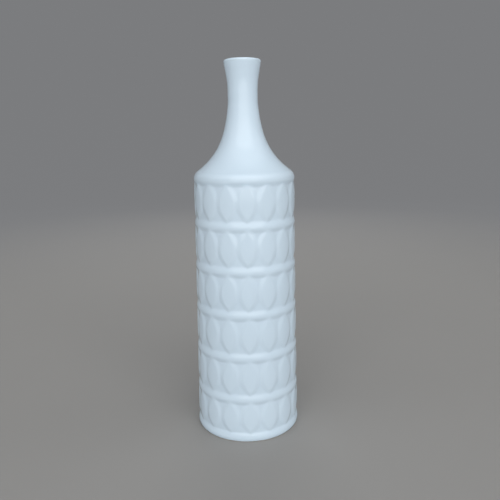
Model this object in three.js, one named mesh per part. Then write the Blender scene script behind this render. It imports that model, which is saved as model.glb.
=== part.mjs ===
import * as THREE from 'three';
import { mergeVertices } from 'three/addons/utils/BufferGeometryUtils.js';

// Porcelain bud vase: a hollow bottle with six tiers of moulded petals between raised ribs.
// It is built up from four sections that meet at flat, level seams, as a potter lutes a bottle:
// the foot ring, the tiered body, the shoulder and the neck. Millimetres, +Z up, standing on z = 0.

// Driving sizes of the tiered body
const tierPitch = 28.9; // from the line under one rib to the line under the next
const fullTiers = 5; // tiers that end in a rib
const footTierHeight = 28; // the lowest tier, which ends in the foot band
const bodyTopRadius = 32.8; // the ground between the petals, at the top seam
const bodyFlare = 2.15; // how much further out the ground lies at the foot
const tierSwell = 0.35; // how far the ground bulges at the middle of each tier
const bodyWall = 3;
const floorThickness = 4;
const floorChamfer = 3.5; // fills the corner between the chamber and its floor

// Driving sizes of the ribs and the foot band
const ribWidth = 9.2; // from its soft upper foot to the bottom of the crease under it
const ribRise = 0.85;
const ribCrestDrop = 2.1; // from its crest down to the line where the next tier begins
const footBandHeight = 6.6;
const footBandRise = 1.05;
const footEdgeHeight = 2.5; // the rounded lower edge of the foot band
const footEdgeInset = 1.5;

// Driving sizes of the petals
const petalsPerTier = 16;
const petalWidthShare = 0.93; // of the room that each petal has on its row
const petalRise = 0.65;
const petalTipOverlap = 0.8; // how far the upper tips run out under the rib above
const petalToeOverlap = 0.8; // how far the toes run out under the rib below
const petalTurn = THREE.MathUtils.degToRad(3); // the front petal stands a little to the right

// Driving sizes of the foot ring
const footSeamHeight = 1.2;
const footRingWidth = 4.7; // across its flat top
const footRingInnerChamfer = 0.5;
const baseRecess = 2.4; // how far the underside lies above the table

// Driving sizes of the shoulder
const shoulderHeight = 48.5;
const beadOverhang = 0.85; // how far the rounded bead stands out over the ground of the body
const beadCurve = 6; // the radius of its rounding
const beadDrop = 2.15; // from its widest point down to the seam
const beadTopAngle = THREE.MathUtils.degToRad(53.1); // where the bead runs out into the sweep
const sweepFootHandle = 17.9; // how long the sweep holds the slope of the bead
const sweepNeckHandle = 19.95; // how long it holds the line of the neck
const sweepLean = THREE.MathUtils.degToRad(6.4); // how far the root of the neck leans outwards

// Driving sizes of the neck
const neckHeight = 29;
const neckRootRadius = 10.06;
const waistRadius = 9.82;
const waistRise = 10; // from the seam up to the narrowest place
const waistFootHandle = 2.5; // how long the neck goes on drawing in above the seam
const waistHandle = 7; // how long it stays slender below and above the waist
const lipRadius = 12.12;
const lipRounding = 1.25;
const lipHandle = 5; // how long the flare holds the slope of the lip
const lipLean = THREE.MathUtils.degToRad(8);
const neckWall = 2.8;

// Places that follow from the driving sizes
const bodySeamHeight = footTierHeight + fullTiers * tierPitch;
const neckSeamHeight = bodySeamHeight + shoulderHeight;
const rimHeight = neckSeamHeight + neckHeight;
const bodyFootRadius = bodyTopRadius + bodyFlare;
const bodyInnerTopRadius = bodyTopRadius - bodyWall;
const bodyInnerFootRadius = bodyFootRadius - bodyWall;
const neckBoreRadius = neckRootRadius - neckWall;
const footBandRadius = bodyFootRadius + footBandRise;
const footRingInnerRadius = footBandRadius - footEdgeInset - footRingWidth;
const beadRadius = bodyTopRadius + beadOverhang;

// How finely the round forms are stepped
const columnsPerPetal = 6;
const bodySegments = petalsPerTier * columnsPerPetal;
const shoulderSegments = 44;
const footSegments = 32;
const neckSegments = 32;
const sweepSteps = 7;
const innerSweepSteps = 5;
const beadSteps = 4;
const waistSteps = 2;
const flareSteps = 4;
const innerFlareSteps = 2;
const lipSteps = 4;

// A solid of revolution about Z from a closed outline of (radius, height) points.
// The outline runs up the outside and down the inside.
function revolve(outline, segments) {
  const geometry = new THREE.LatheGeometry([...outline, outline[0]], segments);
  geometry.rotateX(Math.PI / 2);
  return geometry;
}

// Keeps only positions and welds the seam of the revolution, so the mesh is one closed body.
function weld(geometry) {
  geometry.deleteAttribute('normal');
  geometry.deleteAttribute('uv');
  const welded = mergeVertices(geometry);
  welded.computeVertexNormals();
  return welded;
}

// The ground between the petals widens towards the foot, and a little more so near the foot.
const flarePower = 1.25;
function groundRadius(height) {
  const below = Math.max(0, 1 - height / bodySeamHeight);
  return THREE.MathUtils.lerp(bodyTopRadius, bodyFootRadius, Math.pow(below, flarePower));
}

// Half a petal's width as a share of the widest, with along running from 0 at the end of its tip
// to 1 at the end of its toe: an oval that is pointed at both ends.
const ovalPower = 0.87;
function petalHalfWidthShare(along) {
  const fromMiddle = 2 * along - 1;
  return Math.pow(Math.max(0, 1 - fromMiddle * fromMiddle), ovalPower);
}

// How far a petal stands out on its centre line: full over the middle, and thinner to both ends.
const tipThinningShare = 0.35;
const toeThinningShare = 0.45;
function petalThickness(along) {
  const fromMiddle = 2 * along - 1;
  const thinning = fromMiddle < 0 ? tipThinningShare : toeThinningShare;
  return petalRise * (1 - thinning * Math.pow(fromMiddle, 4));
}

// The ground of a tier swells gently between the two ends of its petals.
function groundSwell(along) {
  return tierSwell * Math.pow(Math.sin(Math.PI * along), 2);
}

// A rib is one soft wave, whose lower half runs out into the crease of the next tier.
function ribWave(fromCrest) {
  const share = Math.min(0.5, Math.abs(fromCrest) / ribWidth);
  return (ribRise * (1 + Math.cos(2 * Math.PI * share))) / 2;
}

// One row of points round the body: its height, the radius of its ground, how far a rib rises
// over that ground, and a petal's half width share and thickness there.
function row(height, swell, rise, halfWidthShare, relief) {
  return { height, radius: groundRadius(height) + swell, rise, halfWidthShare, relief };
}

// Below the toes the columns of points stay close together, because no petal spreads them.
const bandWidthShare = 0.2;

// A tier from its first line down to the end of its petals. The tips of the petals stand on the
// lower slope of the rib or bead above. The toes close where the next band begins, at bandTop.
const petalRowShares = [0.31, 0.54, 0.77, 0.93];
function petalRows(top, petalEnd, bandTop) {
  const petalTop = top + petalTipOverlap;
  const crestAbove = top + ribCrestDrop;
  const petalRow = (height) => {
    const along = (petalTop - height) / (petalTop - petalEnd);
    const rise = ribWave(crestAbove - height);
    return row(height, groundSwell(along), rise, petalHalfWidthShare(along), petalThickness(along));
  };
  return [
    petalRow(top),
    petalRow(crestAbove - ribWidth / 2),
    ...petalRowShares.map((share) => petalRow(THREE.MathUtils.lerp(petalTop, petalEnd, share))),
    row(bandTop, 0, 0, bandWidthShare, 0),
  ];
}

// The upper slope of a rib, down to its crest: where its rows lie, as shares of its width.
const ribRowShares = [0.25, 0];
function ribRows(crestHeight) {
  return ribRowShares.map((share) => {
    const fromCrest = ribWidth * share;
    return row(crestHeight + fromCrest, 0, ribWave(fromCrest), bandWidthShare, 0);
  });
}

// The foot band rises like a rib and then turns under in a rounded edge, down to the foot seam.
function footEdgeRadius(height) {
  const below = (footEdgeHeight - height) / footEdgeHeight;
  return footBandRadius - footEdgeInset * (1 - Math.sqrt(1 - below * below));
}

function footBandRows(top) {
  const slopeShare = 0.5;
  const slopeHeight = THREE.MathUtils.lerp(top, footEdgeHeight, slopeShare);
  const edgeHeights = [footEdgeHeight, (footEdgeHeight + footSeamHeight) / 2, footSeamHeight];
  const bandRow = (height, rise) => row(height, 0, rise, bandWidthShare, 0);
  return [
    bandRow(slopeHeight, footBandRise * Math.sin((Math.PI / 2) * slopeShare)),
    ...edgeHeights.map((height) => bandRow(height, footEdgeRadius(height) - groundRadius(height))),
  ];
}

// All rows of the outside, from the shoulder seam down to the foot seam.
function outsideRows() {
  const rows = [];
  for (let tier = 0; tier < fullTiers; tier += 1) {
    const top = bodySeamHeight - tier * tierPitch;
    const crestHeight = top - tierPitch + ribCrestDrop;
    const ribTop = crestHeight + ribWidth / 2;
    rows.push(...petalRows(top, ribTop - petalToeOverlap, ribTop), ...ribRows(crestHeight));
  }
  rows.push(...petalRows(footTierHeight, footBandHeight, footBandHeight));
  rows.push(...footBandRows(footBandHeight));
  return rows;
}

// The inside of the body: a plain tapered chamber with a sloping corner at the floor, and the
// underside of the floor, recessed inside the foot ring.
function insidePoints() {
  const floorHeight = baseRecess + floorThickness;
  return [
    new THREE.Vector2(bodyInnerTopRadius, bodySeamHeight),
    new THREE.Vector2(bodyInnerFootRadius, floorHeight + floorChamfer),
    new THREE.Vector2(bodyInnerFootRadius - floorChamfer, floorHeight),
    new THREE.Vector2(0, floorHeight),
    new THREE.Vector2(0, baseRecess),
    new THREE.Vector2(footRingInnerRadius - (baseRecess - footSeamHeight), baseRecess),
    new THREE.Vector2(footRingInnerRadius, footSeamHeight),
  ];
}

// The six columns of points that carry one petal, from its centre line round to the next:
// side is the way from the centre line, width the share of the half width, and lift the share
// of the thickness. The valley between two petals has no width: it stays midway.
const crownWidthShare = 0.62;
const crownLiftShare = 0.78;
const petalColumns = [
  { side: 1, width: 0, lift: 1 },
  { side: 1, width: crownWidthShare, lift: crownLiftShare },
  { side: 1, width: 1, lift: 0 },
  { side: 1, valley: true, lift: 0 },
  { side: -1, width: 1, lift: 0 },
  { side: -1, width: crownWidthShare, lift: crownLiftShare },
];

// Moves one point of a row to its place on the petal that the column belongs to. Where a petal
// meets a rib, the higher of the two shows.
function reliefPoint(rowOfPoints, columnIndex) {
  const pitchAngle = (2 * Math.PI) / petalsPerTier;
  const column = petalColumns[columnIndex % columnsPerPetal];
  const petal = Math.floor(columnIndex / columnsPerPetal) + (column.side < 0 ? 1 : 0);
  const halfAngle = (pitchAngle / 2) * petalWidthShare * rowOfPoints.halfWidthShare;
  const spread = column.valley ? pitchAngle / 2 : halfAngle * column.width;
  const angle = petal * pitchAngle + column.side * spread;
  const radius = rowOfPoints.radius + Math.max(rowOfPoints.rise, rowOfPoints.relief * column.lift);
  return [radius * Math.sin(angle), -radius * Math.cos(angle), rowOfPoints.height];
}

// Each four-cornered face of the revolution is two triangles, all split the same way. On the left
// half of every petal they are split the other way, so that its two halves mirror each other.
function mirrorLeftHalves(geometry, facesPerColumn) {
  const cornersPerFace = 6;
  const index = geometry.getIndex();
  for (let column = 0; column < bodySegments; column += 1) {
    const isLeftHalf = column % columnsPerPetal >= columnsPerPetal / 2;
    for (let face = 0; isLeftHalf && face < facesPerColumn; face += 1) {
      const first = (column * facesPerColumn + face) * cornersPerFace;
      const [a, b, d, c] = [0, 1, 2, 3].map((corner) => index.getX(first + corner));
      [a, b, c, a, c, d].forEach((vertex, corner) => index.setX(first + corner, vertex));
    }
  }
}

// The tiered body is revolved with its ribs, and then its petals are raised on the outside.
function tieredBodyGeometry() {
  const rows = outsideRows().reverse();
  const outline = [
    ...rows.map((each) => new THREE.Vector2(each.radius + each.rise, each.height)),
    ...insidePoints(),
  ];
  const geometry = revolve(outline, bodySegments);
  const position = geometry.getAttribute('position');
  const pointsPerColumn = outline.length + 1;
  for (let column = 0; column <= bodySegments; column += 1) {
    const columnIndex = column % bodySegments;
    rows.forEach((each, index) => {
      position.setXYZ(column * pointsPerColumn + index, ...reliefPoint(each, columnIndex));
    });
    // The outline ends on its first point again.
    position.setXYZ(column * pointsPerColumn + outline.length, ...reliefPoint(rows[0], columnIndex));
  }
  mirrorLeftHalves(geometry, outline.length);
  return weld(geometry);
}

// The foot ring carries on the rounded edge of the foot band down to the table.
function footRingGeometry() {
  const outside = [0, footSeamHeight / 2, footSeamHeight].map(
    (height) => new THREE.Vector2(footEdgeRadius(height), height),
  );
  const inside = [
    new THREE.Vector2(footRingInnerRadius, footSeamHeight),
    new THREE.Vector2(footRingInnerRadius, footRingInnerChamfer),
    new THREE.Vector2(footRingInnerRadius + footRingInnerChamfer, 0),
  ];
  return weld(revolve([...outside, ...inside], footSegments));
}

// The rounded bead, from the seam up to where the sweep begins.
function beadPoints() {
  const bottomAngle = -Math.asin(beadDrop / beadCurve);
  const centreRadius = beadRadius - beadCurve;
  const centreHeight = bodySeamHeight + beadDrop;
  const points = [new THREE.Vector2(centreRadius + beadCurve * Math.cos(bottomAngle), bodySeamHeight)];
  for (let step = 1; step <= beadSteps; step += 1) {
    const angle = THREE.MathUtils.lerp(bottomAngle, beadTopAngle, step / beadSteps);
    points.push(new THREE.Vector2(
      centreRadius + beadCurve * Math.cos(angle),
      centreHeight + beadCurve * Math.sin(angle),
    ));
  }
  return points;
}

// The hollow sweep from the bead up into the root of the neck.
function sweepCurve(start) {
  const end = new THREE.Vector2(neckRootRadius, neckSeamHeight);
  const startHandle = new THREE.Vector2(
    start.x - sweepFootHandle * Math.sin(beadTopAngle),
    start.y + sweepFootHandle * Math.cos(beadTopAngle),
  );
  const endHandle = new THREE.Vector2(
    end.x + sweepNeckHandle * Math.sin(sweepLean),
    end.y - sweepNeckHandle * Math.cos(sweepLean),
  );
  return new THREE.CubicBezierCurve(start, startHandle, endHandle, end);
}

// A point of a curve moved into the wall, square to the curve.
function innerPoint(curve, share, wall) {
  const point = curve.getPoint(share);
  const along = curve.getTangent(share);
  return new THREE.Vector2(point.x - wall * along.y, point.y + wall * along.x);
}

function shoulderGeometry() {
  const bead = beadPoints();
  const sweep = sweepCurve(bead[bead.length - 1]);
  const outside = [...bead, ...sweep.getPoints(sweepSteps).slice(1)];
  const inside = [];
  for (let step = 0; step < innerSweepSteps; step += 1) {
    const share = step / innerSweepSteps;
    inside.unshift(innerPoint(sweep, share, THREE.MathUtils.lerp(bodyWall, neckWall, share)));
  }
  inside.unshift(new THREE.Vector2(neckBoreRadius, neckSeamHeight));
  inside.push(new THREE.Vector2(bodyInnerTopRadius, bodySeamHeight));
  return weld(revolve([...outside, ...inside], shoulderSegments));
}

// The neck draws in to its waist and flares to a rounded lip.
function neckGeometry() {
  const root = new THREE.Vector2(neckRootRadius, neckSeamHeight);
  const waist = new THREE.Vector2(waistRadius, neckSeamHeight + waistRise);
  const lipEdge = new THREE.Vector2(lipRadius, rimHeight - lipRounding);
  const rootHandle = new THREE.Vector2(
    root.x - waistFootHandle * Math.sin(sweepLean),
    root.y + waistFootHandle * Math.cos(sweepLean),
  );
  const lipEdgeHandle = new THREE.Vector2(
    lipEdge.x - lipHandle * Math.sin(lipLean),
    lipEdge.y - lipHandle * Math.cos(lipLean),
  );
  const below = new THREE.Vector2(waist.x, waist.y - Math.min(waistHandle, waistRise - waistFootHandle));
  const above = new THREE.Vector2(waist.x, waist.y + waistHandle);
  const lower = new THREE.CubicBezierCurve(root, rootHandle, below, waist);
  const flare = new THREE.CubicBezierCurve(waist, above, lipEdgeHandle, lipEdge);
  const lip = new THREE.Path();
  lip.absarc(lipEdge.x - lipRounding, lipEdge.y, lipRounding, 0, Math.PI, false);
  const inside = [];
  for (let step = 0; step < innerFlareSteps; step += 1) {
    inside.unshift(innerPoint(flare, step / innerFlareSteps, neckWall));
  }
  const outside = [
    ...lower.getPoints(waistSteps),
    ...flare.getPoints(flareSteps).slice(1),
    ...lip.getPoints(lipSteps).slice(1),
  ];
  inside.push(new THREE.Vector2(neckBoreRadius, neckSeamHeight));
  return weld(revolve([...outside, ...inside], neckSegments));
}

// The glaze is a cool, faintly blue white; the wiped foot is bare, matt biscuit.
function glazedPorcelain() {
  return new THREE.MeshStandardMaterial({ color: 0xe6edf3, roughness: 0.12, metalness: 0 });
}

function bareBiscuit() {
  return new THREE.MeshStandardMaterial({ color: 0xe3ded4, roughness: 0.75, metalness: 0 });
}

function section(name, geometry, material) {
  const mesh = new THREE.Mesh(geometry, material);
  mesh.name = name;
  return mesh;
}

const vase = new THREE.Group();
vase.name = 'bud_vase';

const footRing = section('foot_ring', footRingGeometry(), bareBiscuit());
const tieredBody = section('tiered_body', tieredBodyGeometry(), glazedPorcelain());
const shoulder = section('shoulder', shoulderGeometry(), glazedPorcelain());
const neck = section('neck', neckGeometry(), glazedPorcelain());

tieredBody.rotation.z = petalTurn;
vase.add(footRing, tieredBody, shoulder, neck);

export default vase;
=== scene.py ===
# %% [markdown]
# # A porcelain bud vase
# A tall bottle of glazed white porcelain: a cylinder with six tiers of moulded petals between
# raised ribs, a rounded bead, a hollow sweep up into a slender neck, and a small flared lip. The
# CAD part gives its size and its four sections. This lesson dresses each section with a finer
# surface of the same sizes, and gives it its glaze. Everything here is in metres in Blender, and
# the sizes are written in millimetres, as a potter would measure them.

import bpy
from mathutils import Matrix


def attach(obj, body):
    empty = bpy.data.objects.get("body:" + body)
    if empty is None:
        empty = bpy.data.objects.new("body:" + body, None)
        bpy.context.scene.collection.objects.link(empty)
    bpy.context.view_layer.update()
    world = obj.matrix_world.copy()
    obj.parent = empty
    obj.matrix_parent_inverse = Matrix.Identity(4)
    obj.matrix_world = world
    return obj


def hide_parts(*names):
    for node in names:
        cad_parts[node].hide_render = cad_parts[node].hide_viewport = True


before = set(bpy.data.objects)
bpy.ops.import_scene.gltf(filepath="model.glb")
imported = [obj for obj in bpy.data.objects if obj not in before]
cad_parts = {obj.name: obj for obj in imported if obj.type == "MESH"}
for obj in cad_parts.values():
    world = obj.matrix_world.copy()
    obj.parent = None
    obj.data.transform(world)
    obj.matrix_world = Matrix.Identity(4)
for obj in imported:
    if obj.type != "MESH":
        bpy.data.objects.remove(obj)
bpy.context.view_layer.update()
print("CAD sections:", ", ".join(sorted(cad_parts)))

# %% Modules and the millimetre
import math

import bpy
import numpy as np
from mathutils import Matrix, Vector

MM = 0.001

# %% [markdown]
# ## The camera
# The camera comes first. It was fitted to the level ribs, the two sides and the outline of the
# foot: it stands a little above the shoulder, a bit more than a third of a metre away, and looks
# down by twelve degrees with a very slight roll. The three axes are written out, so that no
# tracking constraint has to be worked out afterwards.

# %% Camera at the photograph's viewing angle
CAMERA_PLACE = Vector((3.12, -363.8, 201.55)) * MM
CAMERA_DROP = math.radians(11.901)
CAMERA_ROLL = math.radians(-0.924)
CAMERA_LENS = 38.765
SENSOR_WIDTH = 36.0
CAMERA_NEAREST = 0.01


def camera_axes(drop, roll):
    """Right, up and forward of a camera that looks along +Y, down by drop and rolled by roll."""
    level_right = Vector((1, 0, 0))
    level_up = Vector((0, math.sin(drop), math.cos(drop)))
    forward = Vector((0, math.cos(drop), -math.sin(drop)))
    right = level_right * math.cos(roll) + level_up * math.sin(roll)
    up = level_up * math.cos(roll) - level_right * math.sin(roll)
    return right, up, forward


def make_camera():
    """The scene's camera, with its axes written straight into its matrix."""
    right, up, forward = camera_axes(CAMERA_DROP, CAMERA_ROLL)
    data = bpy.data.cameras.new("view")
    data.lens = CAMERA_LENS
    data.sensor_width = SENSOR_WIDTH
    data.clip_start = CAMERA_NEAREST
    camera = bpy.data.objects.new("view", data)
    camera.matrix_world = Matrix((right, up, -forward)).transposed().to_4x4()
    camera.location = CAMERA_PLACE
    bpy.context.collection.objects.link(camera)
    bpy.context.scene.camera = camera
    return camera


camera = make_camera()
print("camera at", [round(value, 4) for value in camera.location], "lens", CAMERA_LENS)

# %% [markdown]
# ## Writing node trees as sums
# A finish or a moulded surface is a long formula, and wiring it one node at a time hides what it
# says. A small class wraps the output of a node, and its operators add the Math node that the sum
# needs, so 1 - mask can be written as it is read. The same class serves shader trees and geometry
# trees, because both use the same Math node.

# %% A socket that can be calculated with
class Value:
    """A number that runs through a node tree."""

    def __init__(self, bench, socket):
        self.bench = bench
        self.socket = socket

    def __add__(self, other):
        return self.bench.sum("ADD", self, other)

    __radd__ = __add__

    def __mul__(self, other):
        return self.bench.sum("MULTIPLY", self, other)

    __rmul__ = __mul__

    def __sub__(self, other):
        return self.bench.sum("SUBTRACT", self, other)

    def __rsub__(self, other):
        return self.bench.sum("SUBTRACT", other, self)

    def __truediv__(self, other):
        return self.bench.sum("DIVIDE", self, other)

    def __rtruediv__(self, other):
        return self.bench.sum("DIVIDE", other, self)

    def __pow__(self, other):
        return self.bench.sum("POWER", self, other)


# %% A bench on which one node tree is built
class Bench:
    """Adds nodes to one tree, and hands out their outputs as values."""

    def __init__(self, tree):
        self.tree = tree

    def node(self, kind, settings=None, sockets=None):
        """A new node, with its settings made first and its sockets fed after them."""
        made = self.tree.nodes.new(kind)
        for name, setting in (settings or {}).items():
            setattr(made, name, setting)
        for name, value in (sockets or {}).items():
            self.feed(made.inputs[name], value)
        return made

    def feed(self, socket, value):
        """Links a socket to a value of this tree, or writes a plain number or colour in it."""
        if isinstance(value, Value):
            self.tree.links.new(value.socket, socket)
        else:
            socket.default_value = value

    def out(self, node, name=0):
        """One output of a node, as a value."""
        return Value(self, node.outputs[name])

    def sum(self, operation, *values):
        """The result of one Math node."""
        made = self.node("ShaderNodeMath", {"operation": operation}, dict(enumerate(values)))
        return self.out(made)

    def split(self, vector):
        """The three parts of a vector, as values."""
        made = self.node("ShaderNodeSeparateXYZ", None, {0: vector})
        return [self.out(made, axis) for axis in range(3)]

    def smooth(self, value, low, high):
        """0 below low, 1 above high, and a smooth rise between them."""
        settings = {"interpolation_type": "SMOOTHSTEP"}
        sockets = {"Value": value, "From Min": low, "From Max": high}
        return self.out(self.node("ShaderNodeMapRange", settings, sockets), "Result")


def between(first, second, share):
    """The first value where the share is 0, the second where it is 1, and a mix of both between."""
    return first + (second - first) * share


print("node helpers ready")

# %% [markdown]
# ## Sizes shared by the sections
# These are the driving sizes of the part's source, in millimetres. Two of them differ by a hair:
# the foot band stands out a little less, so that the finer surface stays inside the part's box,
# and the tiers swell a little less, which is nearer to how softly they take the light. The seams
# are level, so each section only has to know its own lower and upper seam. Where the photograph
# gives a size it was measured there: the pitch of the tiers, the ribs, the petals, and the
# outline of the shoulder and neck. The thickness of the wall and the inside are what such a
# casting usually has.

# %% Heights of the seams and the turned form of the body
TIER_PITCH = 28.9
FULL_TIERS = 5
FOOT_TIER_HEIGHT = 28.0
BODY_SEAM = FOOT_TIER_HEIGHT + FULL_TIERS * TIER_PITCH
FOOT_SEAM = 1.2
SHOULDER_HEIGHT = 48.5
NECK_HEIGHT = 29.0
NECK_SEAM = BODY_SEAM + SHOULDER_HEIGHT
RIM = NECK_SEAM + NECK_HEIGHT

BODY_TOP_RADIUS = 32.8
BODY_FLARE = 2.15
TIER_SWELL = 0.25
FLARE_POWER = 1.25
BODY_WALL = 3.0
FLOOR_THICKNESS = 4.0
FLOOR_CHAMFER = 3.5
NECK_WALL = 2.8
NECK_ROOT_RADIUS = 10.06
print("seams at", FOOT_SEAM, BODY_SEAM, NECK_SEAM, "rim at", RIM)

# %% The foot band and the foot ring
FOOT_BAND_HEIGHT = 6.6
FOOT_BAND_RISE = 1.045
FOOT_EDGE_HEIGHT = 2.5
FOOT_EDGE_INSET = 1.5
FOOT_BAND_RADIUS = BODY_TOP_RADIUS + BODY_FLARE + FOOT_BAND_RISE
FOOT_RING_WIDTH = 4.7
FOOT_RING_INSIDE = FOOT_BAND_RADIUS - FOOT_EDGE_INSET - FOOT_RING_WIDTH
FOOT_RING_CHAMFER = 0.5
BASE_RECESS = 2.4
print("foot band radius", FOOT_BAND_RADIUS, "ring inside", FOOT_RING_INSIDE)

# %% [markdown]
# ## Turned forms
# Each section is turned: an outline of radius and height is carried round the axis. A Screw or
# Spin would do it, but both need their doubles merged and can turn a shell inside out. Here the
# rings of points are written out and joined, with the outline running up the outside and down the
# inside, so that every face points outwards from the start and a point on the axis closes a pole.

# %% Turn an outline into a closed mesh
def ring_of_points(radius, height, columns):
    """One ring as (x, y, z) rows in metres, counted round from the front. One point on the axis."""
    if radius == 0:
        return np.array([[0, 0, height]]) * MM
    turn = np.linspace(0, 2 * math.pi, columns, endpoint=False)
    level = np.full(columns, height)
    return np.stack([radius * np.sin(turn), -radius * np.cos(turn), level], axis=1) * MM


def faces_between(lower, upper, columns):
    """The faces between two rings, each given as its first point's index and how many it has."""
    (low, low_count), (high, high_count) = lower, upper
    if low_count == 1 and high_count == 1:
        return []
    after = [(each, (each + 1) % columns) for each in range(columns)]
    if low_count == 1:
        return [(low, high + b, high + a) for a, b in after]
    if high_count == 1:
        return [(low + a, low + b, high) for a, b in after]
    return [(low + a, low + b, high + b, high + a) for a, b in after]


def turned(name, outline, columns, closed=True):
    """The outline carried round the axis. The last ring joins the first, or stays open."""
    rings = [ring_of_points(radius, height, columns) for radius, height in outline]
    starts = np.cumsum([0] + [len(ring) for ring in rings])
    spans = [(int(start), len(ring)) for start, ring in zip(starts, rings)]
    faces = []
    for lower, upper in zip(spans, spans[1:] + spans[:1] if closed else spans[1:]):
        faces += faces_between(lower, upper, columns)
    mesh = bpy.data.meshes.new(name)
    mesh.from_pydata(np.concatenate(rings).tolist(), [], faces)
    mesh.validate()
    return mesh


# %% Show a mesh smooth, with its true corners kept
CORNER_ANGLE = math.radians(50)


def piece_from(mesh, name):
    """An object at the origin that shows a mesh."""
    mesh.shade_smooth()
    mesh.set_sharp_from_angle(angle=CORNER_ANGLE)
    piece = bpy.data.objects.new(name, mesh)
    bpy.context.collection.objects.link(piece)
    return piece


def report_piece(piece):
    """Prints how many triangles a piece has."""
    piece.data.calc_loop_triangles()
    print(piece.name, len(piece.data.loop_triangles), "triangles")


# %% [markdown]
# ## The glaze
# The glaze is a cool white with a trace of blue. It is glassy and level, but never perfectly so:
# it sags a little into slow ripples, runs thin over every crest and pools in the hollows, where
# it looks a shade deeper and bluer; that darker tint in the hollows is also painted shade, which
# stands in for the shadow in the creases and round the petals. A Principled shader with a low
# roughness gives the gloss. The colour is blended between a crest colour and a darker colour for
# pooled glaze and painted shade by how high the moulding stands, which the geometry tree leaves on
# the mesh as an attribute, and slow noise on Object coordinates does the rest.

# %% Colours written as they look
def colour(red, green, blue):
    """A colour given as it looks on a screen, from 0 to 255, made linear for the shader."""
    shares = [value / 255 for value in (red, green, blue)]
    linear = [s / 12.92 if s <= 0.04045 else ((s + 0.055) / 1.055) ** 2.4 for s in shares]
    return tuple(linear) + (1.0,)


CREST_GLAZE = colour(217, 234, 246)
# The darker glaze: pooled glaze and painted shade in the hollows, also reached by the slow drift.
POOLED_GLAZE_AND_SHADE = colour(196, 216, 232)
BISCUIT_LIGHT = colour(232, 227, 217)
BISCUIT_DARK = colour(216, 209, 196)
print("crest glaze", [round(value, 3) for value in CREST_GLAZE])

# %% Nodes that the finishes share
MIX_FIRST_COLOUR = 6
MIX_SECOND_COLOUR = 7
MIX_COLOUR_RESULT = 2


def new_material(name):
    """An empty node material, and the bench on which it is built."""
    material = bpy.data.materials.new(name)
    material.use_nodes = True
    material.node_tree.nodes.clear()
    return material, Bench(material.node_tree)


def object_place(bench):
    """Where a point lies on its own object, in metres."""
    return bench.out(bench.node("ShaderNodeTexCoord"), "Object")


def noise(bench, place, patches, detail=2.0):
    """Noise from 0 to 1 on a place, with so many patches to the metre."""
    sockets = {"Vector": place, "Scale": patches, "Detail": detail}
    return bench.out(bench.node("ShaderNodeTexNoise", None, sockets), "Fac")


def blend(bench, share, first, second):
    """A colour between two others. The Mix node has its own numbered sockets for colours."""
    made = bench.node("ShaderNodeMix", {"data_type": "RGBA", "clamp_factor": True})
    bench.feed(made.inputs["Factor"], share)
    bench.feed(made.inputs[MIX_FIRST_COLOUR], first)
    bench.feed(made.inputs[MIX_SECOND_COLOUR], second)
    return bench.out(made, MIX_COLOUR_RESULT)


def bumped(bench, height, distance):
    """A normal for a surface whose height of 1 stands for the distance, in metres."""
    sockets = {"Height": height, "Distance": distance}
    return bench.out(bench.node("ShaderNodeBump", None, sockets), "Normal")


def finish_surface(bench, sockets):
    """Ends a material in one Principled shader."""
    shader = bench.node("ShaderNodeBsdfPrincipled", None, sockets)
    bench.node("ShaderNodeOutputMaterial", None, {"Surface": bench.out(shader, "BSDF")})


# %% The porcelain glaze
GLAZE_IOR = 1.5
GLAZE_ROUGHNESS = 0.09
ROUGHNESS_SPREAD = 0.02
ROUGHNESS_PATCHES = 30.0
DRIFT_PATCHES = 14.0
DRIFT_RANGE = (0.3, 0.7)
DRIFT_SHARE = 0.15
# How much darker the hollows of the moulded body are, for pooled glaze and painted shade.
POOL_AND_SHADE_SHARE = 0.07
RIPPLE_PATCHES = 55.0
RIPPLE_HEIGHT = 0.03 * MM
POOL_AND_SHADE_ATTRIBUTE = "pool_and_shade"


def glazed_porcelain(name, is_moulded):
    """The glaze. On the moulded body an attribute says where it runs together and shade is painted.
    """
    material, bench = new_material(name)
    place = object_place(bench)
    drift = bench.smooth(noise(bench, place, DRIFT_PATCHES), *DRIFT_RANGE)
    tint = drift * DRIFT_SHARE + (1 - DRIFT_SHARE)
    if is_moulded:
        stored = bench.node("ShaderNodeAttribute", {"attribute_name": POOL_AND_SHADE_ATTRIBUTE})
        # Painted shade and pooled glaze darken the hollows between the petals and under the ribs.
        tint = tint - bench.out(stored, "Fac") * POOL_AND_SHADE_SHARE
    ripple = noise(bench, place, RIPPLE_PATCHES, detail=1.0)
    spread = noise(bench, place, ROUGHNESS_PATCHES) * ROUGHNESS_SPREAD
    finish_surface(bench, {
        "Base Color": blend(bench, tint, POOLED_GLAZE_AND_SHADE, CREST_GLAZE),
        "Roughness": GLAZE_ROUGHNESS + spread,
        "IOR": GLAZE_IOR,
        "Normal": bumped(bench, ripple, RIPPLE_HEIGHT),
    })
    return material


plain_glaze = glazed_porcelain("white_glaze", is_moulded=False)
moulded_glaze = glazed_porcelain("white_glaze_moulded", is_moulded=True)
print("glazes:", plain_glaze.name, moulded_glaze.name)

# %% [markdown]
# ## The moulded relief as a geometry tree
# The mould presses the same tier six times: flat petals that come out from under one rib and run
# down into the next, each with a soft step all round it. Displacing a texture would blur the
# step, and modelling each petal would hide the rule. A Geometry Nodes tree states it: for each
# point of the turned wall it works out how far down its tier the point lies and how far it stands
# from the middle of its petal, and lifts it.

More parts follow.
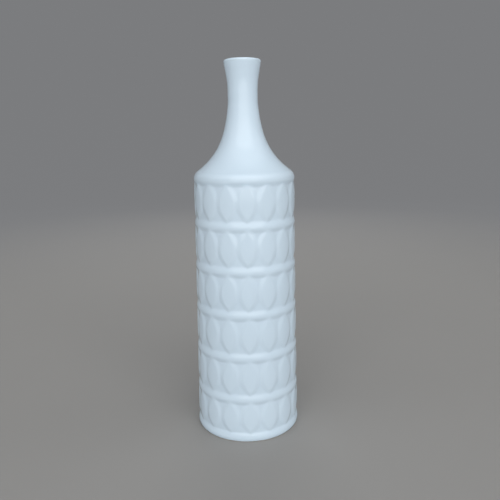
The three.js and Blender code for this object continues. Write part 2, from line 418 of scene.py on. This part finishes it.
# %% Named inputs of the relief
RELIEF_SIZES = {
    "Seam Height": BODY_SEAM * MM,
    "Tier Pitch": TIER_PITCH * MM,
    "Full Tiers": FULL_TIERS,
    "Foot Tier Height": FOOT_TIER_HEIGHT * MM,
    "Petals per Tier": 16,
    "Petal Turn": math.radians(3),
    "Petal Width": 12.1 * MM,
    "Petal Rise": 0.65 * MM,
    "Tier Swell": TIER_SWELL * MM,
    "Petal Middle": 11.0 * MM,
    "Tip Length": 13.4 * MM,
    "Toe Length": 12.0 * MM,
    "Foot Toe Length": 10.4 * MM,
    "Tip Edge": 4.2 * MM,
    "Toe Edge": 3.5 * MM,
    "Rib Rise": 0.85 * MM,
    "Rib Crest Drop": 2.1 * MM,
    "Bead Crest Drop": 2.17 * MM,
    "Rib Upper Reach": 4.7 * MM,
    "Rib Lower Reach": 4.0 * MM,
}


def relief_group():
    """An empty tree with the relief's named inputs, and a way to read each of them."""
    tree = bpy.data.node_groups.new("moulded relief", "GeometryNodeTree")
    tree.interface.new_socket(name="Geometry", in_out="INPUT", socket_type="NodeSocketGeometry")
    for name in RELIEF_SIZES:
        tree.interface.new_socket(name=name, in_out="INPUT", socket_type="NodeSocketFloat")
    tree.interface.new_socket(name="Glaze", in_out="INPUT", socket_type="NodeSocketMaterial")
    tree.interface.new_socket(name="Geometry", in_out="OUTPUT", socket_type="NodeSocketGeometry")
    bench = Bench(tree)
    given = bench.node("NodeGroupInput")
    return tree, bench, lambda name: bench.out(given, name)


# %% Where a point of the wall stands
SMALLEST_RADIUS = 1.0 * MM


def wall_place(bench):
    """A point's x, y, height and radius. The radius is never 0, because later sums divide by it."""
    x, y, height = bench.split(bench.out(bench.node("GeometryNodeInputPosition")))
    radius = bench.sum("MAXIMUM", bench.sum("SQRT", x * x + y * y), SMALLEST_RADIUS)
    return x, y, height, radius


def across_petal(bench, given, x, y, radius):
    """How far round the wall a point lies from the middle of the nearest petal."""
    pitch = 2 * math.pi / given("Petals per Tier")
    turn = bench.sum("ARCTAN2", x, y * -1) - given("Petal Turn")
    return (turn - pitch * bench.sum("ROUND", turn / pitch)) * radius


def down_the_tier(bench, given, height):
    """How far a point lies below the top of its own tier, and 1 if that is the foot tier."""
    from_seam = given("Seam Height") - height
    tiers_above = bench.sum("FLOOR", from_seam / given("Tier Pitch"))
    tiers_above = bench.sum("MINIMUM", tiers_above, given("Full Tiers"))
    below = from_seam - tiers_above * given("Tier Pitch")
    in_foot = bench.sum("LESS_THAN", height, given("Foot Tier Height"))
    return below, in_foot


# %% The outline of a petal
TIP_POWER = 1.33
TOE_POWER = 0.87
STEEPEST_END = 0.05


def along_petal(bench, given, below, in_foot):
    """-1 at the end of a petal's tip, 0 where it is widest and 1 at the end of its toe. The tips of
    the next tier start above its seam, under the rib, so a point there counts from that tier."""
    tip_start = given("Petal Middle") - given("Tip Length")
    under_rib = bench.sum("GREATER_THAN", below - given("Tier Pitch"), tip_start)
    from_middle = below - given("Tier Pitch") * under_rib * (1 - in_foot) - given("Petal Middle")
    toe = between(given("Toe Length"), given("Foot Toe Length"), in_foot)
    is_toe = bench.sum("GREATER_THAN", from_middle, 0.0)
    length = between(given("Tip Length"), toe, is_toe)
    return from_middle / length, length, is_toe


def petal_outline(bench, given, along, length, is_toe):
    """Half a petal's width, below 0 past its ends, and the cosine of its outline's lean."""
    level = 1 - along * along
    power = between(TIP_POWER, TOE_POWER, is_toe)
    inside = bench.sum("ABSOLUTE", level)
    half_width = bench.sum("SIGN", level) * inside ** power * given("Petal Width") * 0.5
    steepness = bench.sum("MAXIMUM", inside, STEEPEST_END) ** (power - 1)
    slope = given("Petal Width") * power * steepness * along / length
    return half_width, 1 / bench.sum("SQRT", 1 + slope * slope)


# %% The height of the petals
def edge_width(bench, given, along):
    """How wide the step at a petal's edge is: softest at the tip and tightest at the toe."""
    return between(given("Tip Edge"), given("Toe Edge"), bench.smooth(along, -1.0, 1.0))


def petal_lift(bench, given, half_width, cosine, across, edge):
    """A flat-topped pillow whose edge is a soft step, half way up on the outline."""
    return given("Petal Rise") * bench.smooth((half_width - across) * cosine / edge, -0.5, 0.5)


def petals_lift(bench, given, outline, across, radius, edge):
    """The nearest petal and the next one, whose edges add up in the valley between them."""
    beyond = 2 * math.pi / given("Petals per Tier") * radius - across
    near = petal_lift(bench, given, *outline, across, edge)
    far = petal_lift(bench, given, *outline, beyond, edge)
    return near + far


# %% The swelling ground and the ribs
def ground_swell(bench, given, along):
    """How far the ground of a tier bulges between the two ends of its petals."""
    reach = 1 - bench.sum("MINIMUM", bench.sum("ABSOLUTE", along), 1.0)
    return given("Tier Swell") * bench.sum("SINE", reach * (math.pi / 2))


UNDERCUT_POWER = 1.2


def rib_lift(bench, given, below, in_foot, height):
    """A soft wave for each rib, a little steeper on its underside."""
    pitch = given("Tier Pitch")
    under_bead = bench.sum("GREATER_THAN", height, given("Seam Height") - pitch / 2)
    dropped = below + between(given("Rib Crest Drop"), given("Bead Crest Drop"), under_bead)
    from_crest = dropped - pitch * bench.sum("ROUND", dropped / pitch)
    is_under = bench.sum("GREATER_THAN", from_crest, 0.0)
    reach = between(given("Rib Upper Reach"), given("Rib Lower Reach"), is_under)
    share = bench.sum("MINIMUM", bench.sum("ABSOLUTE", from_crest) / reach, 1.0)
    share = share ** (1 + is_under * (UNDERCUT_POWER - 1))
    wave = bench.sum("COSINE", share * math.pi) * 0.5 + 0.5
    in_foot_rib = bench.sum("GREATER_THAN", below, pitch / 2) * in_foot
    return given("Rib Rise") * wave * (1 - in_foot_rib)


# %% Lift the wall
# How far from a petal or rib the pooled glaze and painted shade of the hollows reach.
POOL_AND_SHADE_REACH = 0.25 * MM
OUTSIDE_ATTRIBUTE = "outside"


def pool_and_shade_mask(bench, petal, rib):
    """1 where no petal or rib stands out, for pooled glaze and painted shade, and 0 on both."""
    return 1 - bench.smooth(bench.sum("MAXIMUM", petal, rib), 0.0, POOL_AND_SHADE_REACH)


def lift_wall(bench, given, lift, pool_and_shade, x, y, radius):
    """Moves each outside point along its radius, and stores the pooled glaze and painted shade."""
    named = bench.node(
        "GeometryNodeInputNamedAttribute", {"data_type": "FLOAT"}, {"Name": OUTSIDE_ATTRIBUTE},
    )
    outside = bench.out(named, "Attribute")
    lift = lift * outside
    offset = bench.node("ShaderNodeCombineXYZ", None, {
        "X": x / radius * lift, "Y": y / radius * lift,
    })
    stored = bench.node(
        "GeometryNodeStoreNamedAttribute", {"data_type": "FLOAT", "domain": "POINT"},
        {"Geometry": given("Geometry"), "Name": POOL_AND_SHADE_ATTRIBUTE, "Value": pool_and_shade * outside},
    )
    moved = bench.node("GeometryNodeSetPosition", None, {
        "Geometry": bench.out(stored), "Offset": bench.out(offset),
    })
    return bench.out(moved)


def relief_tree():
    """The whole tree. A petal that runs over a rib takes its own height off the rib's."""
    tree, bench, given = relief_group()
    x, y, height, radius = wall_place(bench)
    below, in_foot = down_the_tier(bench, given, height)
    along, length, is_toe = along_petal(bench, given, below, in_foot)
    outline = petal_outline(bench, given, along, length, is_toe)
    across = bench.sum("ABSOLUTE", across_petal(bench, given, x, y, radius))
    petal = petals_lift(bench, given, outline, across, radius, edge_width(bench, given, along))
    rib = rib_lift(bench, given, below, in_foot, height)
    lift = petal + rib * (1 - petal / given("Rib Rise")) + ground_swell(bench, given, along)
    wall = lift_wall(bench, given, lift, pool_and_shade_mask(bench, petal, rib), x, y, radius)
    real = bench.node("GeometryNodeRealizeInstances", None, {"Geometry": wall})
    glazed = bench.node("GeometryNodeSetMaterial", None, {
        "Geometry": bench.out(real), "Material": given("Glaze"),
    })
    bench.node("NodeGroupOutput", None, {"Geometry": bench.out(glazed)})
    return tree


relief = relief_tree()
print("relief tree has", len(relief.nodes), "nodes")

# %% [markdown]
# ## The turned wall of the body
# Before the relief is raised, the body is a plain turned bottle wall that widens a little towards
# the foot and ends in a smooth, raised foot band with a rounded lower edge. The rows of points
# lie close together where the relief turns quickly, at the tips and toes of the petals and over
# the rib, and wider apart on the calm middle of the petals, so that the mesh spends its faces
# where they show. The names below say how far each stretch reaches and how many rows it gets.

# %% Rows of the body's wall
TIP_ZONE = 3.0
TIP_ROWS = 7
MIDDLE_ROWS = 12
TOE_ZONE = 4.5
TOE_MARGIN = 1.0
TOE_ROWS = 10
RIB_ROWS = 13
TOE_ABOVE_SEAM = 7.1
TOE_ABOVE_BAND = 0.9
BAND_GAP = 0.2
BAND_ROWS = 9
FOOT_EDGE_ROWS = 5


def steps(start, stop, count):
    """count values from start towards stop, without stop itself."""
    return [start + (stop - start) * index / count for index in range(count)]


def tier_rows(top, bottom, toe_above):
    """Heights from a tier's top to its bottom, close together by the tips, the toes and the rib."""
    toe_stop = bottom + toe_above - TOE_MARGIN
    toe_start = bottom + toe_above + TOE_ZONE
    heights = steps(top, top - TIP_ZONE, TIP_ROWS)
    heights += steps(top - TIP_ZONE, toe_start, MIDDLE_ROWS)
    heights += steps(toe_start, toe_stop, TOE_ROWS)
    if toe_stop > bottom:
        heights += steps(toe_stop, bottom, RIB_ROWS)
    return heights


def body_heights():
    """The height of every row of the body's outside, from the foot seam up to the shoulder's."""
    heights = []
    for tier in range(FULL_TIERS):
        top = BODY_SEAM - tier * TIER_PITCH
        heights += tier_rows(top, top - TIER_PITCH, TOE_ABOVE_SEAM)
    heights += tier_rows(FOOT_TIER_HEIGHT, FOOT_BAND_HEIGHT, TOE_ABOVE_BAND)
    heights += steps(FOOT_BAND_HEIGHT - BAND_GAP, FOOT_EDGE_HEIGHT, BAND_ROWS)
    heights += steps(FOOT_EDGE_HEIGHT, FOOT_SEAM, FOOT_EDGE_ROWS) + [FOOT_SEAM]
    return heights[::-1]


# %% The radius of the plain wall
def foot_edge_radius(height):
    """The rounded lower edge, a quarter of an ellipse that body and foot ring share."""
    below = (FOOT_EDGE_HEIGHT - height) / FOOT_EDGE_HEIGHT
    return FOOT_BAND_RADIUS - FOOT_EDGE_INSET * (1 - math.sqrt(1 - below * below))


def ground_radius(height):
    """The flaring wall under the relief."""
    below = max(0.0, 1 - height / BODY_SEAM)
    return BODY_TOP_RADIUS + BODY_FLARE * below ** FLARE_POWER


def wall_radius(height):
    """The flaring wall, the foot band that rises out of it, and its rounded edge."""
    if height < FOOT_EDGE_HEIGHT:
        return foot_edge_radius(height)
    share = (FOOT_BAND_HEIGHT - height) / (FOOT_BAND_HEIGHT - FOOT_EDGE_HEIGHT)
    band = math.sin(math.pi / 2 * share) if share > 0 else 0.0
    ground = ground_radius(height)
    return ground + (FOOT_BAND_RADIUS - ground) * band


# %% The inside of the body
def arc(centre, radius, start, stop, count):
    """Points on an arc, with angles in degrees, from start to stop, both ends included."""
    turns = [math.radians(start + (stop - start) * index / count) for index in range(count + 1)]
    return [(centre[0] + radius * math.cos(t), centre[1] + radius * math.sin(t)) for t in turns]


def body_inside():
    """Down the inside of the wall, across the floor, and out along the underside."""
    floor = BASE_RECESS + FLOOR_THICKNESS
    top_radius = BODY_TOP_RADIUS - BODY_WALL
    foot_radius = BODY_TOP_RADIUS + BODY_FLARE - BODY_WALL
    chamfer = [(foot_radius, floor + FLOOR_CHAMFER), (foot_radius - FLOOR_CHAMFER, floor)]
    corner = FOOT_RING_INSIDE - (BASE_RECESS - FOOT_SEAM)
    under = [(corner, BASE_RECESS), (FOOT_RING_INSIDE, FOOT_SEAM)]
    return [(top_radius, BODY_SEAM)] + chamfer + [(0, floor), (0, BASE_RECESS)] + under


# %% Turn the wall and raise the relief
BODY_COLUMNS = 352


def body_mesh():
    """The plain body, with an attribute that is 1 on the outside, where the relief may lift it."""
    outside = [(wall_radius(height), height) for height in body_heights()]
    mesh = turned("tiered_body", outside + body_inside(), BODY_COLUMNS)
    mask = np.zeros(len(mesh.vertices), dtype=np.float32)
    mask[:len(outside) * BODY_COLUMNS] = 1
    outside_of_wall = mesh.attributes.new(OUTSIDE_ATTRIBUTE, "FLOAT", "POINT")
    outside_of_wall.data.foreach_set("value", mask)
    return mesh


def set_inputs(modifier, tree, values):
    """Gives a modifier its inputs, each by the identifier of its socket."""
    for item in tree.interface.items_tree:
        if item.in_out == "INPUT" and item.name in values:
            modifier[item.identifier] = values[item.name]


def raised(piece, tree, values):
    """Runs the tree on a piece, and makes the result its plain mesh."""
    modifier = piece.modifiers.new("relief", "NODES")
    modifier.node_group = tree
    set_inputs(modifier, tree, values)
    bpy.context.view_layer.update()
    evaluated = piece.evaluated_get(bpy.context.evaluated_depsgraph_get())
    result = bpy.data.meshes.new_from_object(evaluated)
    piece.modifiers.remove(modifier)
    piece.data = result
    return piece


tiered_body = piece_from(body_mesh(), "tiered_body_glazed")
raised(tiered_body, relief, {**RELIEF_SIZES, "Glaze": moulded_glaze})
report_piece(tiered_body)

# %% [markdown]
# ## The shoulder
# Above the last tier the wall rounds over in a full bead and then draws in on a hollow sweep to
# the root of the neck. The bead is a true arc and the sweep is one cubic curve that leaves the
# bead along its tangent, so the highlight runs over the join without a break. The inside follows
# at the thickness of the wall.

# %% Curves for the outline
def cubic(points, count):
    """count + 1 points on a cubic curve through its end points, with two handles."""
    start, first, second, stop = (np.array(point, dtype=float) for point in points)
    share = np.linspace(0, 1, count + 1)[:, None]
    rest = 1 - share
    curve = rest ** 3 * start + 3 * rest ** 2 * share * first
    curve += 3 * rest * share ** 2 * second + share ** 3 * stop
    return [tuple(point) for point in curve.tolist()]


def handle(point, length, lean):
    """A handle that leaves a point upwards and leans to the axis. Its length may be negative."""
    return (point[0] - length * math.sin(lean), point[1] + length * math.cos(lean))


def inside_of(points, first_wall, last_wall):
    """The outline moved into the wall, square to itself, by a wall that runs from first to last."""
    place = np.array(points)
    along = np.gradient(place, axis=0)
    along /= np.linalg.norm(along, axis=1)[:, None]
    wall = np.linspace(first_wall, last_wall, len(points))
    moved = np.stack([place[:, 0] - wall * along[:, 1], place[:, 1] + wall * along[:, 0]], axis=1)
    return [tuple(point) for point in moved.tolist()]


# %% The bead and the sweep
BEAD_OVERHANG = 0.85
BEAD_RADIUS = BODY_TOP_RADIUS + BEAD_OVERHANG
BEAD_CURVE = 6.0
BEAD_DROP = 2.15
BEAD_TOP = 53.1
NECK_ROOT = (NECK_ROOT_RADIUS, NECK_SEAM)
BORE_ROOT = (NECK_ROOT_RADIUS - NECK_WALL, NECK_SEAM)
SWEEP_LEAN = math.radians(6.4)
SWEEP_FOOT_HANDLE = 17.9
SWEEP_NECK_HANDLE = 19.95
BEAD_STEPS = 24
SWEEP_STEPS = 90


def bead_outline():
    """The arc of the bead, from the seam under it to where the sweep begins."""
    centre = (BEAD_RADIUS - BEAD_CURVE, BODY_SEAM + BEAD_DROP)
    lowest = -math.degrees(math.asin(BEAD_DROP / BEAD_CURVE))
    return arc(centre, BEAD_CURVE, lowest, BEAD_TOP, BEAD_STEPS)


def sweep_outline(start):
    """The hollow curve from the top of the bead to the root of the neck."""
    first = handle(start, SWEEP_FOOT_HANDLE, math.radians(BEAD_TOP))
    second = handle(NECK_ROOT, -SWEEP_NECK_HANDLE, SWEEP_LEAN)
    return cubic([start, first, second, NECK_ROOT], SWEEP_STEPS)


# %% Turn the shoulder
ROUND_COLUMNS = 256
SWEEP_INSIDE_EVERY = 3


def shoulder_outline():
    """Up the outside and down the inside, which makes do with every third point of the sweep."""
    bead = bead_outline()
    sweep = sweep_outline(bead[-1])
    inner = inside_of(sweep, BODY_WALL, NECK_WALL)[:-1:SWEEP_INSIDE_EVERY]
    seam_inside = (BODY_TOP_RADIUS - BODY_WALL, BODY_SEAM)
    return bead + sweep[1:] + [BORE_ROOT] + inner[::-1] + [seam_inside]


def round_piece(node, name, outline, material):
    """A plain turned piece for one CAD node, in its one material."""
    piece = piece_from(turned(node, outline, ROUND_COLUMNS), name)
    piece.data.materials.append(material)
    report_piece(piece)
    return piece


shoulder = round_piece("shoulder", "shoulder_glazed", shoulder_outline(), plain_glaze)

# %% [markdown]
# ## The neck and the lip
# The neck goes on drawing in for a little above its root, stays slender past the waist, and
# flares to a small lip that is rounded over by the glaze. Two cubic curves share the waist, where
# both stand upright, and the lip is half a circle, so the rim catches one clean ring of light.

# %% The neck's outline
WAIST_RADIUS = 9.82
WAIST_RISE = 10.0
WAIST_FOOT_HANDLE = 2.5
WAIST_HANDLE = 7.0
LIP_RADIUS = 12.12
LIP_ROUNDING = 1.25
LIP_HANDLE = 5.0
LIP_LEAN = math.radians(8)
LOWER_STEPS = 24
FLARE_STEPS = 36
RIM_STEPS = 20
FLARE_INSIDE_EVERY = 4
RIM_CLEARANCE = 6


def neck_outline():
    """Up the outside, over the lip and down the bore, whose first points leave room for the lip."""
    waist = (WAIST_RADIUS, NECK_SEAM + WAIST_RISE)
    lip = (LIP_RADIUS, RIM - LIP_ROUNDING)
    above_root = handle(NECK_ROOT, WAIST_FOOT_HANDLE, SWEEP_LEAN)
    below_waist = handle(waist, -WAIST_HANDLE, 0)
    above_waist = handle(waist, WAIST_HANDLE, 0)
    below_lip = handle(lip, -LIP_HANDLE, -LIP_LEAN)
    lower = cubic([NECK_ROOT, above_root, below_waist, waist], LOWER_STEPS)
    flare = cubic([waist, above_waist, below_lip, lip], FLARE_STEPS)
    rim = arc((LIP_RADIUS - LIP_ROUNDING, lip[1]), LIP_ROUNDING, 0, 180, RIM_STEPS)
    inner = inside_of(flare, NECK_WALL, NECK_WALL)[:-RIM_CLEARANCE:FLARE_INSIDE_EVERY]
    return lower + flare[1:] + rim[1:] + inner[::-1] + [BORE_ROOT]


neck = round_piece("neck", "neck_glazed", neck_outline(), plain_glaze)

# %% [markdown]
# ## The foot ring
# The vase stands on a ring that was wiped clean of glaze before the firing. Its outer edge still
# carries the glaze down to a thin line just above the table, and the face it stands on is bare
# biscuit: matt, slightly warm, and finely grained, with the faint stain that years of standing
# leave. One material does both: its colour, roughness and grain go from biscuit to glaze by a
# mask, which follows the height and wanders a little, because a sponge never wipes a perfectly
# level line.

# %% The biscuit and the wiped glaze line
GLAZE_LINE = 0.55 * MM
GLAZE_LINE_SOFTNESS = 0.08 * MM
WIPE_PATCHES = 90.0
WIPE_WANDER = 0.3 * MM
GRAIN_PATCHES = 2600.0
GRAIN_HEIGHT = 0.04 * MM
STAIN_PATCHES = 60.0
STAIN_RANGE = (0.42, 0.68)
STAIN_SHARE = 0.8
BISCUIT_ROUGHNESS = 0.6
GRAIN_ROUGHNESS = 0.1


def wiped_line(bench, place):
    """1 where the ring is bare, 0 where the glaze still covers it."""
    wander = (noise(bench, place, WIPE_PATCHES) - 0.5) * WIPE_WANDER
    height = bench.split(place)[2] + wander
    lowest = GLAZE_LINE - GLAZE_LINE_SOFTNESS
    return 1 - bench.smooth(height, lowest, GLAZE_LINE + GLAZE_LINE_SOFTNESS)


def wiped_foot(name):
    """Bare biscuit up to the wiped line, and glaze above it."""
    material, bench = new_material(name)
    place = object_place(bench)
    bare = wiped_line(bench, place)
    grain = noise(bench, place, GRAIN_PATCHES, detail=4.0)
    stain = bench.smooth(noise(bench, place, STAIN_PATCHES, detail=5.0), *STAIN_RANGE)
    biscuit = blend(bench, stain * STAIN_SHARE, BISCUIT_LIGHT, BISCUIT_DARK)
    biscuit_roughness = BISCUIT_ROUGHNESS + grain * GRAIN_ROUGHNESS
    finish_surface(bench, {
        "Base Color": blend(bench, bare, CREST_GLAZE, biscuit),
        "Roughness": between(GLAZE_ROUGHNESS, biscuit_roughness, bare),
        "IOR": GLAZE_IOR,
        "Normal": bumped(bench, grain * bare, GRAIN_HEIGHT),
    })
    return material


bare_biscuit = wiped_foot("bare_biscuit")
print("biscuit:", bare_biscuit.name)


# %% Turn the foot ring
FOOT_RING_STEPS = 8


def foot_outline():
    """Up the rounded outside, across the seam, down the inside and over the chamfer."""
    heights = steps(0, FOOT_SEAM, FOOT_RING_STEPS) + [FOOT_SEAM]
    outside = [(foot_edge_radius(height), height) for height in heights]
    inner = [(FOOT_RING_INSIDE, FOOT_SEAM), (FOOT_RING_INSIDE, FOOT_RING_CHAMFER)]
    return outside + inner + [(FOOT_RING_INSIDE + FOOT_RING_CHAMFER, 0)]


foot_ring = round_piece("foot_ring", "foot_ring_wiped", foot_outline(), bare_biscuit)

# %% [markdown]
# ## Joining the pieces to the part
# Each fine section stands for the CAD section of the same name, which then isn't shown. Nothing
# on a vase moves, so all four ride on the one body.

# %% Replace the CAD sections
DRESSED = [
    (foot_ring, "foot_ring", "bare_biscuit"),
    (tiered_body, "tiered_body", "white_glaze"),
    (shoulder, "shoulder", "white_glaze"),
    (neck, "neck", "white_glaze"),
]
for piece, node, slot in DRESSED:
    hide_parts(node)
    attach(piece, "root")
print("dressed", len(DRESSED), "sections")

# %% [markdown]
# ## The studio
# The vase stands on a plain grey sweep: a round floor that rises into a low wall all the way
# round, so no horizon cuts behind it from any side. Near the vase the floor is lit and takes its
# shadow. Further out it turns into one even tone, which only a ray that shows it can see, so the
# backdrop throws no light of its own. The open top lets in the world's light, which comes from
# the whole front and is dim behind. One broad lamp in front gives the soft highlight on the
# shoulder and the ribs, and a small one behind, which the glaze doesn't mirror, keeps the far
# side readable. The levels are set so that a colour renders about as it is written.

# %% The grey sweep
FLOOR_REACH = 1300.0
WALL_CURVE = 450.0
WALL_HEIGHT = 950.0
BEND_STEPS = 24
SWEEP_COLUMNS = 128
FLOOR_COLOUR = colour(156, 154, 151)
FLOOR_BOUNCE = colour(184, 184, 184)
BLACK = colour(0, 0, 0)
MOTTLE_PATCHES = 6.0
MOTTLE_SHADE = 0.97
FLOOR_ROUGHNESS = 0.9
FLOOR_SHEEN = 0.2
NEAR_GLOW = colour(16, 16, 16)
BACKDROP_GLOW = colour(122, 123, 125)
BACKDROP_FROM = 350.0 * MM
BACKDROP_FULL = 1300.0 * MM


def sweep_mesh():
    """A round wall that turns into a flat disc, as one open sheet that faces the vase."""
    bend = arc((FLOOR_REACH, WALL_CURVE), WALL_CURVE, 0, -90, BEND_STEPS)
    outline = [(FLOOR_REACH + WALL_CURVE, WALL_HEIGHT)] + bend + [(FLOOR_REACH / 2, 0), (0, 0)]
    mesh = turned("studio_sweep", outline, SWEEP_COLUMNS, closed=False)
    mesh.shade_smooth()
    return mesh


def is_seen(bench):
    """1 for a ray that shows the sweep, also in the glaze, and 0 for one that only lights."""
    rays = bench.node("ShaderNodeLightPath")
    seen = bench.sum("MAXIMUM", bench.out(rays, "Is Camera Ray"), bench.out(rays, "Is Glossy Ray"))
    return bench.sum("MAXIMUM", seen, bench.out(rays, "Is Transmission Ray"))


def floor_paint():
    """Grey paint that takes the shadow near the vase, and turns into one even tone further out."""
    material, bench = new_material("floor_paint")
    place = object_place(bench)
    x, y, _ = bench.split(place)
    far = bench.smooth(bench.sum("SQRT", x * x + y * y), BACKDROP_FROM, BACKDROP_FULL)
    darker = tuple(value * MOTTLE_SHADE for value in FLOOR_COLOUR[:3]) + (1.0,)
    mottled = blend(bench, noise(bench, place, MOTTLE_PATCHES, detail=3.0), darker, FLOOR_COLOUR)
    seen_paint = blend(bench, far, mottled, BLACK)
    seen_glow = blend(bench, far, NEAR_GLOW, BACKDROP_GLOW)
    seen = is_seen(bench)
    finish_surface(bench, {
        "Base Color": blend(bench, seen, FLOOR_BOUNCE, seen_paint),
        "Roughness": FLOOR_ROUGHNESS,
        "Specular IOR Level": FLOOR_SHEEN,
        "Emission Color": blend(bench, seen, BLACK, seen_glow),
        "Emission Strength": 1.0,
    })
    return material


studio = bpy.data.objects.new("studio_sweep", sweep_mesh())
bpy.context.collection.objects.link(studio)
studio.data.materials.append(floor_paint())
print("sweep reaches", FLOOR_REACH + WALL_CURVE, "mm")


# %% Lamps
def area_lamp(name, place, target, size, power):
    """A square lamp that looks at its target, with its size in metres and its power in watts."""
    data = bpy.data.lights.new(name, "AREA")
    data.shape = "SQUARE"
    data.size = size
    data.energy = power
    lamp = bpy.data.objects.new(name, data)
    lamp.location = place
    aim = Vector(target) - Vector(place)
    lamp.rotation_euler = aim.to_track_quat("-Z", "Y").to_euler()
    bpy.context.collection.objects.link(lamp)
    return lamp


VASE_MIDDLE = (0, 0, 0.13)
area_lamp("broad_lamp", (0.12, -1.18, 0.68), VASE_MIDDLE, size=1.9, power=16.0)
back_fill = area_lamp("back_fill", (0.0, 1.25, 0.75), VASE_MIDDLE, size=0.9, power=4.5)
back_fill.visible_glossy = False

# %% The world's even light
WORLD_COLOUR = (0.93, 0.96, 1.0, 1.0)
FRONT_STRENGTH = 0.81
BEHIND_STRENGTH = 0.15
FRONT_TURN = math.radians(12)
FRONT_EDGE = (-0.22, 0.12)


def make_world():
    """An even sky over the whole front, which leaves the back half dim."""
    world = bpy.data.worlds.new("even_light")
    world.use_nodes = True
    world.node_tree.nodes.clear()
    bench = Bench(world.node_tree)
    x, y, _ = bench.split(bench.out(bench.node("ShaderNodeTexCoord"), "Generated"))
    front = bench.smooth(x * math.sin(FRONT_TURN) - y * math.cos(FRONT_TURN), *FRONT_EDGE)
    strength = between(BEHIND_STRENGTH, FRONT_STRENGTH, front)
    glow = bench.node("ShaderNodeBackground", None, {"Color": WORLD_COLOUR, "Strength": strength})
    bench.node("ShaderNodeOutputWorld", None, {"Surface": bench.out(glow)})
    bpy.context.scene.world = world


make_world()
bpy.context.scene.view_settings.view_transform = "Standard"
print("world strength", BEHIND_STRENGTH, "to", FRONT_STRENGTH)
